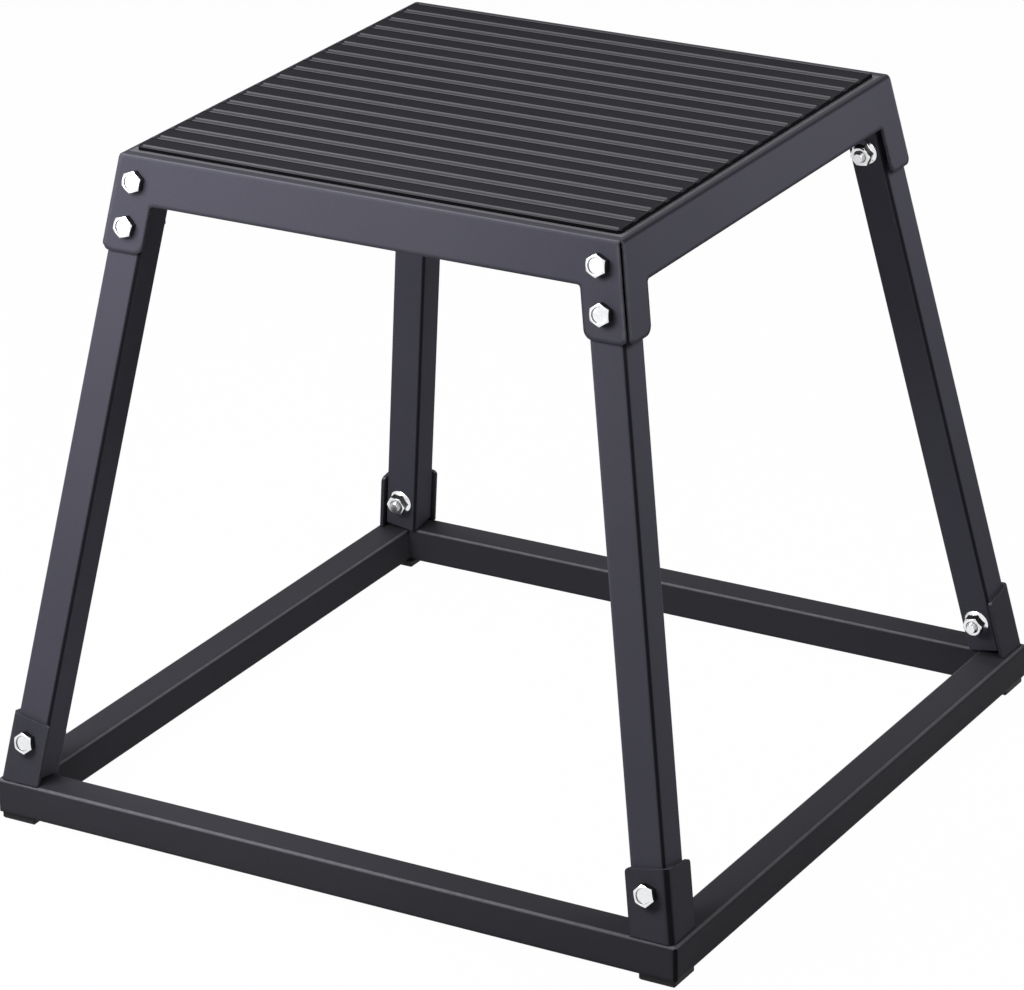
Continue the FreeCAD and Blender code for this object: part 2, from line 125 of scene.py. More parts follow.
def split(tree, vector):
    return add_node(tree, "ShaderNodeSeparateXYZ", {"Vector": vector}).outputs


def surface_normal(tree):
    return add_node(tree, "ShaderNodeNewGeometry").outputs["Normal"]


def rounded_normal(tree, radius):
    """The surface's direction as if its edges were rounded."""
    return add_node(tree, "ShaderNodeBevel", {"Radius": radius}, samples=4).outputs["Normal"]


def beyond(tree, coordinate, limit):
    """How far a place lies outside a limit that is the same on both sides of the middle."""
    return math_node(tree, "SUBTRACT", math_node(tree, "ABSOLUTE", coordinate), limit)


# Shared finish: rounded and worn edges, with painted highlights along edges and painted shade on
# corners, lower edges and bends
def edge_wear_and_light_group():
    """Masks of a piece's edges and bends, by the way that its surface turns there: wear on sharp edges
    that also stands in for their highlights, a painted highlight on top edges that is stronger towards
    the front, and painted shade on front-right corners, lower edges of upright faces and right-hand
    folds.
    """
    edge_turn = (0.995, 0.8)
    lower_turn = (0.05, 0.15)
    upright_face = (0.45, 0.3)
    patch_range = (0.35, 0.65)
    patch_least = 0.25
    even_least = 0.8
    highlight_rise = 0.12
    highlight_fall = 0.04
    front_face = (-0.1, -0.4)
    side_highlight = 0.6
    corner_bend = (0.25, 0.5, 0.86, 0.97)
    corner_front = (-0.1, -0.35)
    fold_bend = (0.08, 0.28, 0.8, 0.95)
    fold_top = (0.2, 0.4)
    group, given, leave = new_group(
        "edge_wear_and_light",
        {"Radius": 0.5 * mm, "Wear Radius": 1.2 * mm, "Breakup": 220.0,
         "Highlight From": 0.54, "Highlight To": 0.92},
        {"Wear": "NodeSocketFloat", "Lower Edge Shade": "NodeSocketFloat", "Top Edge Highlight": "NodeSocketFloat",
         "Corner Shade": "NodeSocketFloat", "Side Fold Shade": "NodeSocketFloat", "Normal": "NodeSocketVector"})
    rounded = rounded_normal(group, given["Radius"])
    wide = rounded_normal(group, given["Wear Radius"])
    flat = surface_normal(group)
    facing = add_node(group, "ShaderNodeVectorMath", {0: wide, 1: flat}, operation="DOT_PRODUCT")
    turned = split(group, flat)
    softened = split(group, wide)
    edge = ramp(group, facing.outputs["Value"], *edge_turn)
    # Painted shade along edges that turn downward on upright faces
    downward = math_node(group, "SUBTRACT", turned["Z"], softened["Z"])
    lower = product(group, ramp(group, downward, *lower_turn), ramp(group, turned["Z"], *upright_face))
    flecks = noise(group, object_coords(group), given["Breakup"], 3.0)
    patchy = remap(group, flecks, *patch_range, patch_least, 1.0)
    # Sharp edges, lighter as worn coat and also as a painted highlight along them
    edge_wear_and_highlight = product(group, math_node(group, "SUBTRACT", edge, lower, clamp=True), patchy)
    # Painted highlight on the rounded shoulder between a top and a side, stronger where the shoulder
    # faces the front
    shoulder = window(group, turned["Z"],
                      math_node(group, "SUBTRACT", given["Highlight From"], highlight_rise),
                      math_node(group, "ADD", given["Highlight From"], highlight_rise),
                      math_node(group, "SUBTRACT", given["Highlight To"], highlight_fall),
                      math_node(group, "ADD", given["Highlight To"], highlight_fall))
    front_share = remap(group, turned["Y"], *front_face, side_highlight, 1.0)
    even = remap(group, patchy, patch_least, 1.0, even_least, 1.0)
    worn_and_highlit = product(group, product(group, shoulder, front_share), even)
    # Painted shade on rounded corners that turn from the front to the right
    corner = product(group, window(group, turned["X"], *corner_bend),
                     ramp(group, turned["Y"], *corner_front))
    # Painted shade on bends that turn from the top to the right side
    side_fold_shade = product(group, window(group, turned["X"], *fold_bend),
                        ramp(group, turned["Z"], *fold_top))
    for socket, mask in (("Wear", edge_wear_and_highlight), ("Lower Edge Shade", lower), ("Top Edge Highlight", worn_and_highlit),
                         ("Corner Shade", corner), ("Side Fold Shade", side_fold_shade), ("Normal", rounded)):
        group.links.new(mask, leave.inputs[socket])
    return group


# Shared finish: fine grain, cloudy tone and handling marks
noise_range = (0.3, 0.7)


def surface_grain_group():
    """Height, tone and gloss of a surface, from fine specks to broad smudges."""
    coarse_share = 0.3
    fine_height, coarse_height = 0.65, 0.35
    cloud_tone, speck_tone = 0.55, 0.45
    smudge_roughness = 0.6
    group, given, leave = new_group(
        "surface_grain", {"Grain Scale": 1100.0, "Cloud Scale": 14.0, "Smudge Scale": 5.0},
        {"Height": "NodeSocketFloat", "Tone": "NodeSocketFloat", "Gloss": "NodeSocketFloat"})
    coords = object_coords(group)
    fine = noise(group, coords, given["Grain Scale"], 2.0)
    coarse = noise(group, coords, product(group, given["Grain Scale"], coarse_share), 2.0)
    height = math_node(group, "ADD", product(group, fine, fine_height),
                       product(group, coarse, coarse_height))
    cloud = noise(group, coords, given["Cloud Scale"], 4.0)
    speckle = ramp(group, fine, *noise_range)
    tone = math_node(group, "ADD", product(group, cloud, cloud_tone),
                     product(group, speckle, speck_tone))
    smudge = noise(group, coords, given["Smudge Scale"], 5.0, smudge_roughness)
    group.links.new(height, leave.inputs["Height"])
    group.links.new(tone, leave.inputs["Tone"])
    group.links.new(smudge, leave.inputs["Gloss"])
    return group


edge_wear_and_light = edge_wear_and_light_group()
surface_grain = surface_grain_group()


def place_group(tree, group, values):
    item = add_node(tree, "ShaderNodeGroup", node_tree=group)
    for socket, setting in values.items():
        item.inputs[socket].default_value = setting
    return item.outputs


def new_material(name):
    material = bpy.data.materials.new(name)
    material.use_nodes = True
    tree = material.node_tree
    shader = tree.nodes["Principled BSDF"]
    return material, tree, shader


def blend_colours(tree, factor, first, second):
    mix = add_node(tree, "ShaderNodeMix", {"Factor": factor}, data_type="RGBA")
    for socket, given in ((6, first), (7, second)):
        if isinstance(given, bpy.types.NodeSocket):
            tree.links.new(given, mix.inputs[socket])
        else:
            mix.inputs[socket].default_value = given
    return mix.outputs[2]


def grey(red, green, blue):
    return (red, green, blue, 1.0)


def finish_surface(tree, shader, colour, roughness, relief, strength, depth, normal):
    """Join a colour, a roughness and a bumped relief to a material's shader."""
    bump = add_node(tree, "ShaderNodeBump", {"Strength": strength, "Distance": depth,
                                             "Height": relief, "Normal": normal})
    tree.links.new(colour, shader.inputs["Base Color"])
    tree.links.new(roughness, shader.inputs["Roughness"])
    tree.links.new(bump.outputs["Normal"], shader.inputs["Normal"])


def smudged(tree, grain, smooth, rough):
    """Roughness between two values, by the smudges on a surface."""
    return remap(tree, grain["Gloss"], *noise_range, smooth, rough)


# Powder coat on the deck, legs, rails and brackets
# The near-black tone is painted shade; the pale tone is worn coat and also a painted highlight on edges
painted_shade_coat = grey(0.012, 0.012, 0.015)
wear_and_highlight_coat = grey(0.20, 0.20, 0.22)
pan_tones = (grey(0.069, 0.068, 0.0875), grey(0.085, 0.0835, 0.1075))
# The rail and bracket tones are darker copies of the leg and deck coat, standing in for the shade that
# falls on them
rail_shaded_tones = (grey(0.0437, 0.0428, 0.0512), grey(0.054, 0.0526, 0.0628))
bracket_shaded_tones = (grey(0.0522, 0.0513, 0.0637), grey(0.0646, 0.0637, 0.0789))


def coat_with_wear_and_painted_light(tree, tones, rub_from, rub_to, highlight_strength, edge_width):
    """Coat lighter along sharp edges (wear, also standing in for their highlights), with a painted
    highlight along top edges and painted shade over corners and lower edges.
    """
    wear_and_highlight_strength = 0.5
    shade_strength = 0.9
    grain = place_group(tree, surface_grain, {"Grain Scale": 950.0})
    edge = place_group(tree, edge_wear_and_light, {"Radius": 0.45 * mm, "Wear Radius": edge_width,
                                           "Highlight From": rub_from, "Highlight To": rub_to})
    coat = blend_colours(tree, grain["Tone"], *tones)
    # Lighter edges: wear that also stands in for highlights, and a painted highlight along top edges
    wear_and_highlight_share = larger(tree, product(tree, edge["Wear"], wear_and_highlight_strength),
                    product(tree, edge["Top Edge Highlight"], highlight_strength))
    worn_and_highlit = blend_colours(tree, wear_and_highlight_share, coat, wear_and_highlight_coat)
    # Painted shade over front-right corners and lower edges
    painted_shade = product(tree, larger(tree, edge["Corner Shade"], edge["Lower Edge Shade"]), shade_strength)
    return blend_colours(tree, painted_shade, worn_and_highlit, painted_shade_coat), grain, edge


def spray(tree, shader, colour, grain, edge):
    """Fine orange peel and an uneven low gloss under a coat's colour."""
    peel_strength = 0.35
    peel_depth = 0.06 * mm
    roughness = smudged(tree, grain, smooth=0.42, rough=0.54)
    finish_surface(tree, shader, colour, roughness, grain["Height"], peel_strength, peel_depth,
                   edge["Normal"])
    shader.inputs["Specular IOR Level"].default_value = 0.01


def steel_coat_material(name, tones):
    """Coat of the square tubes and the corner brackets."""
    material, tree, shader = new_material(name)
    coat, grain, edge = coat_with_wear_and_painted_light(tree, tones, rub_from=0.54, rub_to=0.92, highlight_strength=0.95,
                                  edge_width=1.2 * mm)
    spray(tree, shader, coat, grain, edge)
    return material


def deck_coat_material():
    """Coat of the folded sheet: a painted sheen on the top round the mat, a band of painted shade
    beyond it, and painted shade along the side folds.
    """
    sheen_margin = 3.0 * mm
    shade_margin = 4.2 * mm
    right_narrowing = 0.5 * mm
    margin_sheen_tone = grey(0.150, 0.148, 0.161)
    painted_dark_tone = grey(0.053, 0.052, 0.064)
    flat_top = (0.975, 0.995)
    margin_light_strength = 0.95
    fold_shade_strength = 0.8
    material, tree, shader = new_material("powder_coat_deck")
    coat, grain, edge = coat_with_wear_and_painted_light(tree, pan_tones, rub_from=0.84, rub_to=0.985, highlight_strength=0.6,
                                  edge_width=3.5 * mm)
    facing = split(tree, surface_normal(tree))
    spot = split(tree, object_coords(tree))
    from_side = beyond(tree, spot["X"], mat_high.x)
    from_end = beyond(tree, spot["Y"], mat_high.y)
    from_right = math_node(tree, "SUBTRACT", spot["X"], mat_high.x - right_narrowing)
    from_mat = larger(tree, larger(tree, from_side, from_right), from_end)
    # Painted light on the flat top: a pale painted sheen next to the mat, then a darker band of painted
    # shade out to the fold, narrower on the right
    painted_margin_light = blend_colours(tree, ramp(tree, from_mat, sheen_margin, shade_margin), margin_sheen_tone, painted_dark_tone)
    on_top = remap(tree, facing["Z"], *flat_top, 0.0, margin_light_strength)
    topped = blend_colours(tree, on_top, coat, painted_margin_light)
    # Painted shade along the bends that turn from the top to the right side
    fold_shaded = blend_colours(tree, product(tree, edge["Side Fold Shade"], fold_shade_strength), topped, painted_shade_coat)
    spray(tree, shader, fold_shaded, grain, edge)
    return material


# Rubber of the tread mat: matt bars; grooves painted lighter as a reflection sheen, with painted shadow
# lines and painted shade on the side walls
def tread_rubber_material():
    bar_tones = (grey(0.0167, 0.0165, 0.0203), grey(0.0246, 0.0238, 0.0279))
    groove_sheen_tones = (grey(0.063, 0.063, 0.068), grey(0.125, 0.124, 0.133))
    shadow_line_tone = grey(0.004, 0.004, 0.005)
    wall_shade_tone = grey(0.005, 0.005, 0.006)
    wear_and_highlight_tone = grey(0.06, 0.06, 0.065)
    rim = 2.0 * mm
    groove_end = 0.8 * mm
    wall_soft = 0.1 * mm
    front_slope = (-0.4, -0.7)
    steep_face = (0.55, 0.3)
    line_width = 1.7 * mm
    line_start, line_end = 0.6, 0.2
    crease_share = 0.7
    wear_and_highlight_strength = 0.2
    relief_share = 0.5
    bump_strength = 0.5
    bump_depth = 0.08 * mm
    streak_scale = 900.0
    streak_stretch = (0.12, 1.0, 1.0)
    material, tree, shader = new_material("tread_rubber_black")
    grain = place_group(tree, surface_grain, {"Grain Scale": 1500.0, "Cloud Scale": 30.0})
    edge = place_group(tree, edge_wear_and_light, {"Radius": 0.25 * mm, "Wear Radius": 0.5 * mm})
    coords = object_coords(tree)
    spot = split(tree, coords)
    facing = split(tree, surface_normal(tree))

    wall_middle = (groove_floor + bar_top) / 2
    low_part = ramp(tree, spot["Z"], wall_middle + wall_soft, wall_middle - wall_soft)
    front_wall = ramp(tree, facing["Y"], *front_slope)
    from_side = beyond(tree, spot["X"], mat_high.x - rim)
    from_end = beyond(tree, spot["Y"], mat_high.y - rim)
    clear_of_side = ramp(tree, from_side, 0.0, -groove_end)
    # Grooves and the walls that face the front are painted lighter as a painted reflection sheen,
    # stopping short of the mat's sides
    groove = product(tree, larger(tree, low_part, front_wall), clear_of_side)
    # Painted shade: the mat's outer walls are painted near black
    outer = math_node(tree, "GREATER_THAN", larger(tree, from_side, from_end), 0.0)
    side_wall_shade = product(tree, outer, ramp(tree, facing["Z"], *steep_face))

    from_first_bar = math_node(tree, "SUBTRACT", spot["Y"], bar_edges[0])
    along_pitch = math_node(tree, "FRACT", math_node(tree, "DIVIDE", from_first_bar, bar_pitch))
    bar_share = bar_width / bar_pitch
    line_share = line_width / bar_pitch
    # A painted shadow line along one end of each bar, next to its groove
    rear_shadow_line = window(tree, along_pitch, bar_share - line_share, bar_share - line_start * line_share,
                       bar_share, bar_share + line_end * line_share)
    # In each groove, painted highlights on both sides of a darker line
    crease = bar_share + crease_share * (1.0 - bar_share)
    from_crease = math_node(tree, "ABSOLUTE", math_node(tree, "SUBTRACT", along_pitch, crease))
    double_line = ramp(tree, from_crease, line_share / 2, line_share)

    bar_colour = blend_colours(tree, grain["Tone"], *bar_tones)
    lined_colour = blend_colours(tree, rear_shadow_line, bar_colour, shadow_line_tone)
    groove_sheen = blend_colours(tree, double_line, *groove_sheen_tones)
    sheet = blend_colours(tree, groove, lined_colour, groove_sheen)
    worn_and_highlit = blend_colours(tree, product(tree, edge["Wear"], wear_and_highlight_strength), sheet, wear_and_highlight_tone)
    wall_shaded = blend_colours(tree, side_wall_shade, worn_and_highlit, wall_shade_tone)
    along_bars = add_node(tree, "ShaderNodeMapping", {"Vector": coords, "Scale": streak_stretch})
    streaks = noise(tree, along_bars.outputs["Vector"], streak_scale, 3.0)
    pressed = math_node(tree, "ADD", product(tree, grain["Height"], relief_share),
                        product(tree, streaks, relief_share))
    roughness = smudged(tree, grain, smooth=0.72, rough=0.85)
    finish_surface(tree, shader, wall_shaded, roughness, pressed, bump_strength, bump_depth, edge["Normal"])
    shader.inputs["Specular IOR Level"].default_value = 0.02
    return material


# Rubber of the feet
def foot_rubber_material():
    moulded_tones = (grey(0.016, 0.016, 0.018), grey(0.028, 0.028, 0.030))
    wear_and_highlight_tone = grey(0.075, 0.075, 0.078)
    wear_and_highlight_strength = 0.5
    bump_strength = 0.4
    bump_depth = 0.07 * mm
    material, tree, shader = new_material("foot_rubber_black")
    grain = place_group(tree, surface_grain, {"Grain Scale": 1300.0, "Cloud Scale": 60.0})
    edge = place_group(tree, edge_wear_and_light, {"Radius": 0.4 * mm, "Wear Radius": 1.0 * mm})
    moulded = blend_colours(tree, grain["Tone"], *moulded_tones)
    worn_and_highlit = blend_colours(tree, product(tree, edge["Wear"], wear_and_highlight_strength), moulded, wear_and_highlight_tone)
    roughness = smudged(tree, grain, smooth=0.6, rough=0.75)
    finish_surface(tree, shader, worn_and_highlit, roughness, grain["Height"], bump_strength, bump_depth,
                   edge["Normal"])
    shader.inputs["Specular IOR Level"].default_value = 0.2
    return material


# Bright zinc on bolts and nuts, painted dark on faces that carry a shade value: painted shade and
# painted dark reflections on hexagon sides, dish walls, bores and threads
shade_name = "painted_shade_value"


def zinc_material():
    plated_tones = (grey(0.78, 0.79, 0.81), grey(0.90, 0.90, 0.91))
    wear_and_highlight_tone = grey(0.95, 0.95, 0.95)
    painted_dark_tone = grey(0.10, 0.10, 0.105)
    wear_and_highlight_strength = 0.6
    dull_roughness = 0.15
    bump_strength = 0.15
    bump_depth = 0.05 * mm
    material, tree, shader = new_material("bright_zinc_plate")
    grain = place_group(tree, surface_grain, {"Grain Scale": 700.0, "Cloud Scale": 160.0,
                                              "Smudge Scale": 90.0})
    edge = place_group(tree, edge_wear_and_light, {"Radius": 0.2 * mm, "Wear Radius": 0.5 * mm,
                                           "Breakup": 500.0})
    plated = blend_colours(tree, grain["Tone"], *plated_tones)
    worn_and_highlit = blend_colours(tree, product(tree, edge["Wear"], wear_and_highlight_strength), plated, wear_and_highlight_tone)
    # Faces with a shade value are painted dark, as painted shade and painted dark reflection
    shade = add_node(tree, "ShaderNodeAttribute", attribute_name=shade_name).outputs["Fac"]
    painted_dark = blend_colours(tree, shade, worn_and_highlit, painted_dark_tone)
    bright_roughness = smudged(tree, grain, smooth=0.14, rough=0.26)
    roughness = math_node(tree, "ADD", bright_roughness, product(tree, shade, dull_roughness))
    finish_surface(tree, shader, painted_dark, roughness, grain["Height"], bump_strength, bump_depth,
                   edge["Normal"])
    shader.inputs["Metallic"].default_value = 1.0
    return material


leg_coat = steel_coat_material("powder_coat_leg", pan_tones)
# Rails and brackets get darker copies of the same coat, as painted shade
rail_shaded_coat = steel_coat_material("powder_coat_rail_shaded", rail_shaded_tones)
bracket_shaded_coat = steel_coat_material("powder_coat_bracket_shaded", bracket_shaded_tones)
deck_coat = deck_coat_material()
tread_rubber = tread_rubber_material()
foot_rubber = foot_rubber_material()
zinc_plate = zinc_material()
finish_of_slot = {"powder_coat": leg_coat, "rubber_mat": tread_rubber,
                  "rubber_foot": foot_rubber, "zinc": zinc_plate}

for node in nodes.values():
    slot_name = node.material_slots[0].material.name.split(".")[0]
    node.material_slots[0].material = finish_of_slot[slot_name]
nodes["deck_pan"].material_slots[0].material = deck_coat
for name, node in nodes.items():
    if name.startswith("base_rail_"):
        node.material_slots[0].material = rail_shaded_coat
    if name.startswith("base_bracket_"):
        node.material_slots[0].material = bracket_shaded_coat


# Bolts and nuts: where each one sits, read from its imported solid
hex_sides = 6
ring_sides = 36
crown_slope = math.tan(math.radians(30.0))
flats_of_corners = math.cos(math.radians(30.0))
merge_gap = 0.001 * mm


class Fastener:
    """One bolt or nut of the frame: its axis, seat and sizes."""

    def __init__(self, points, axis):
        end_length = 2.0 * mm
        head_step = 1.0 * mm
        up = (Vector((0.0, 0.0, 1.0)) - axis * axis.z).normalized()
        side = up.cross(axis)
        spans = [[point.dot(way) for point in points] for way in (side, up, axis)]
        middle = [(min(span) + max(span)) / 2 for span in spans]
        line = side * middle[0] + up * middle[1]
        reach = [(point - line - axis * point.dot(axis)).length for point in points]
        height = spans[2]
        self.axis = axis
        self.line = line
        self.low = min(height)
        self.high = max(height)
        self.radius = max(reach)
        self.low_radius = max(r for r, h in zip(reach, height) if h < self.low + end_length)
        wide = [h for r, h in zip(reach, height) if r > self.low_radius + head_step]
        self.head_seat = min(wide) if wide else self.low

    def frame(self, along, height, turn):
        """Placement with z out of the face at a height on the axis, turned from the leg's direction."""
        tall = (along - self.axis * along.dot(self.axis)).normalized()
        upright = Matrix((tall.cross(self.axis), tall, self.axis)).transposed().to_4x4()
        spin = Matrix.Rotation(math.radians(turn), 4, "Z")
        return Matrix.Translation(self.line + self.axis * height) @ upright @ spin


def read_fasteners(node_name, towards, count):
    """The bolts or nuts of a CAD node, the upper one first."""
    same_way = 0.97
    mesh = nodes[node_name].data
    axis = Vector()
    for face in mesh.polygons:
        if face.normal.dot(towards) > same_way:
            axis += face.normal * face.area
    axis.normalize()
    points = [vert.co.copy() for vert in mesh.vertices]
    if count == 1:
        return [Fastener(points, axis)]
    heights = [point.z for point in points]
    middle = (min(heights) + max(heights)) / 2
    upper = [point for point in points if point.z > middle]
    lower = [point for point in points if point.z <= middle]
    return [Fastener(upper, axis), Fastener(lower, axis)]


# Bolts and nuts: shapes
def next_ring(shape, edges, place, shade=0.0):
    """Extrude a ring of edges; place(vertex position) gives each new vertex its spot."""
    shade_layer = shape.faces.layers.float[shade_name]
    made = bmesh.ops.extrude_edge_only(shape, edges=edges)["geom"]
    for item in made:
        if isinstance(item, bmesh.types.BMVert):
            item.co = place(item.co.copy())
        if isinstance(item, bmesh.types.BMFace):
            item[shade_layer] = shade
    return [edge for edge in made if isinstance(edge, bmesh.types.BMEdge) and edge.is_boundary]


def on_circle(radius, height):
    def place(spot):
        reach = math.hypot(spot.x, spot.y)
        return Vector((spot.x * radius / reach, spot.y * radius / reach, height))
    return place


def on_hexagon(flats, height):
    """A hexagon's outline, its corners cut down by a cone."""
    def place(spot):
        reach = math.hypot(spot.x, spot.y)
        return Vector((spot.x, spot.y, height - (reach - flats / 2) * crown_slope))
    return place


def hexagon_ring(shape, flats, height):
    """A hexagon with corners at both ends of y, each side cut into short edges."""
    ring = bmesh.ops.create_circle(shape, cap_ends=False, radius=flats / math.sqrt(3.0),
                                   segments=hex_sides)["verts"]
    bmesh.ops.translate(shape, verts=ring, vec=(0.0, 0.0, height))
    sides = list({edge for vert in ring for edge in vert.link_edges})
    cut = bmesh.ops.subdivide_edges(shape, edges=sides, cuts=ring_sides // hex_sides - 1)
    return list({item for item in cut["geom"] if isinstance(item, bmesh.types.BMEdge)})


def bolt_head(shape, flats, height, shank_radius):
    """Hexagon head with a coned crown and a shallow dish."""
    crown_edge = 0.2 * mm
    rim_width = 1.4 * mm
    dish_depth = 0.9 * mm
    dish_inset = 0.3 * mm
    ring = hexagon_ring(shape, flats, 0.0)
    under = next_ring(shape, ring, on_circle(shank_radius, 0.0))
    bmesh.ops.edgeloop_fill(shape, edges=under)
    ring = [edge for edge in shape.edges if edge.is_boundary]
    dish_radius = flats / 2 - rim_width
    # Shade 1 paints the hexagon sides and the dish wall dark, as painted shade
    for place, shade in ((on_hexagon(flats, height - crown_edge), 1.0),
                         (on_circle(flats / 2 - crown_edge / crown_slope, height), 0.0),
                         (on_circle(dish_radius, height), 0.0),
                         (on_circle(dish_radius - dish_inset, height - dish_depth), 1.0)):
        ring = next_ring(shape, ring, place, shade)
    bmesh.ops.edgeloop_fill(shape, edges=ring)


def plain_shank(shape, radius, end):
    """Unthreaded part of a bolt, from its head to the start of the thread."""
    ring = bmesh.ops.create_circle(shape, cap_ends=True, radius=radius, segments=ring_sides)
    face = ring["verts"][0].link_faces[0]
    made = bmesh.ops.extrude_face_region(shape, geom=[face])["geom"]
    bmesh.ops.translate(shape, verts=[v for v in made if isinstance(v, bmesh.types.BMVert)],
                        vec=(0.0, 0.0, end))


def bolt_thread(shape, radius, start, tip):
    """Screw thread between two heights below the head, with a coned tip."""
    pitch = 1.25 * mm
    depth_share = 0.61
    steps = 28
    spare_turns = 2
    thread_shade = 0.5
    seam_gap = 0.01 * mm
    tip_narrowing = 0.2 * mm
    root_radius = radius - depth_share * pitch
    tooth_shares = ((root_radius, 0.0), (radius, 0.42), (radius, 0.54), (root_radius, 0.96),
                    (root_radius, 1.0))
    turns = math.ceil((start - tip) / pitch) + spare_turns
    verts = [shape.verts.new((reach, 0.0, tip - pitch + share * pitch))
             for reach, share in tooth_shares]
    edges = [shape.edges.new(pair) for pair in zip(verts, verts[1:])]
    bmesh.ops.spin(shape, geom=verts + edges, cent=(0.0, 0.0, 0.0), axis=(0.0, 0.0, 1.0),
                   dvec=(0.0, 0.0, pitch / steps), angle=math.tau * turns, steps=steps * turns)
    bmesh.ops.remove_doubles(shape, verts=shape.verts[:], dist=seam_gap)
    # The thread is painted half dark, as painted shade
    shade_layer = shape.faces.layers.float[shade_name]
    for face in shape.faces:
        face[shade_layer] = thread_shade
    for height, keep_below in ((start, True), (tip, False)):
        whole = shape.verts[:] + shape.edges[:] + shape.faces[:]
        cut = bmesh.ops.bisect_plane(shape, geom=whole, dist=merge_gap, plane_co=(0.0, 0.0, height),
                                     plane_no=(0.0, 0.0, 1.0), clear_outer=keep_below,
                                     clear_inner=not keep_below)["geom_cut"]
        rim = [item for item in cut if isinstance(item, bmesh.types.BMEdge)]
        bmesh.ops.edgeloop_fill(shape, edges=rim)
    tip_radius = root_radius - tip_narrowing
    for vert in shape.verts:
        reach = math.hypot(vert.co.x, vert.co.y)
        allowed = tip_radius + vert.co.z - tip
        if reach > allowed:
            vert.co.x *= allowed / reach
            vert.co.y *= allowed / reach


def nut_block(shape, flats, height, bore):
    """Hexagon of a nut with a coned crown and a countersunk bore."""
    foot = 0.6 * mm
    crown_edge = 0.25 * mm
    sink = 0.6 * mm
    ring = hexagon_ring(shape, flats, foot)
    # Shade 1 paints the hexagon sides, countersink and bore dark, as painted shade
    for place, shade in ((on_hexagon(flats, height - crown_edge), 1.0),
                         (on_circle(flats / 2 - crown_edge / crown_slope, height), 0.0),
                         (on_circle(bore + sink, height), 0.0),
                         (on_circle(bore, height - sink), 1.0),
                         (on_circle(bore, foot), 1.0)):
        ring = next_ring(shape, ring, place, shade)
    open_edges = [edge for edge in shape.edges if edge.is_boundary]
    bmesh.ops.bridge_loops(shape, edges=open_edges)


def nut_flange(shape, radius, flats, bore):
    """Round flange with a soft rim and a coned top."""
    rim_low = 0.35 * mm
    rim_high = 0.9 * mm
    rim_inset = 0.3 * mm
    cone_top = 2.6 * mm
    section = ((bore, 0.0), (radius - rim_inset, 0.0), (radius, rim_low), (radius, rim_high),
               (radius - rim_inset, rim_high + rim_inset), (flats / 2 - rim_inset, cone_top),
               (bore, cone_top))
    verts = [shape.verts.new((reach, 0.0, height)) for reach, height in section]
    edges = [shape.edges.new((verts[i - 1], verts[i])) for i in range(len(verts))]
    bmesh.ops.spin(shape, geom=verts + edges, cent=(0.0, 0.0, 0.0), axis=(0.0, 0.0, 1.0),
                   angle=math.tau, steps=ring_sides, use_merge=True)


def add_shape(whole, make, place, *sizes):
    """Model one closed shape on its own axis, turn it outward and put it in its place."""
    shape = bmesh.new()
    shape.faces.layers.float.new(shade_name)
    make(shape, *sizes)
    bmesh.ops.remove_doubles(shape, verts=shape.verts[:], dist=merge_gap)
    bmesh.ops.recalc_face_normals(shape, faces=shape.faces[:])
    bmesh.ops.transform(shape, matrix=place, verts=shape.verts[:])
    part = bpy.data.meshes.new("shape")
    shape.to_mesh(part)
    shape.free()
    whole.from_mesh(part)
    bpy.data.meshes.remove(part)


def finished_piece(name, whole, material, node_name):
    """Turn a modelled shape into a piece that stands in for a CAD node."""
    sharp_angle = math.radians(28.0)
    mesh = bpy.data.meshes.new(name)
    whole.to_mesh(mesh)
    whole.free()
    mesh.shade_smooth()
    mesh.set_sharp_from_angle(angle=sharp_angle)
    mesh.materials.append(material)
    piece = bpy.data.objects.new(name, mesh)
    bpy.context.scene.collection.objects.link(piece)
    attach(piece, "root")
    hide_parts(node_name)


def bolts_piece(node_name, bolts, thread_length, along, turns):
    whole = bmesh.new()
    whole.faces.layers.float.new(shade_name)
    for bolt, turn in zip(bolts, turns):
        place = bolt.frame(along, bolt.head_seat, turn)
        flats = 2 * bolt.radius * flats_of_corners
        tip = bolt.low - bolt.head_seat
        thread_start = tip + thread_length
        add_shape(whole, bolt_head, place, flats, bolt.high - bolt.head_seat, bolt.low_radius)
        add_shape(whole, plain_shank, place, bolt.low_radius, thread_start)
        add_shape(whole, bolt_thread, place, bolt.low_radius, thread_start, tip)
    finished_piece(node_name + "_threaded", whole, zinc_plate, node_name)


def nuts_piece(node_name, nuts, flats, bore, along, turns):
    whole = bmesh.new()
    whole.faces.layers.float.new(shade_name)
    for nut, turn in zip(nuts, turns):
        place = nut.frame(along, nut.low, turn)
        add_shape(whole, nut_block, place, flats, nut.high - nut.low, bore)
        add_shape(whole, nut_flange, place, nut.radius, flats, bore)
    finished_piece(node_name + "_chamfered", whole, zinc_plate, node_name)


# How far each head and nut stands turned when tight, in degrees: deck upper, deck lower, base
head_turns = {"front_left": (0.0, -5.0, 18.0), "front_right": (-6.0, -5.0, 6.0),
              "rear_left": (12.0, -20.0, 4.0), "rear_right": (25.0, 8.0, -14.0)}
nut_turns = {"front_left": (76.0, 95.0, 84.0), "front_right": (88.0, 70.0, 101.0),
             "rear_left": (81.0, 93.0, 98.0), "rear_right": (90.0, 86.0, 92.0)}


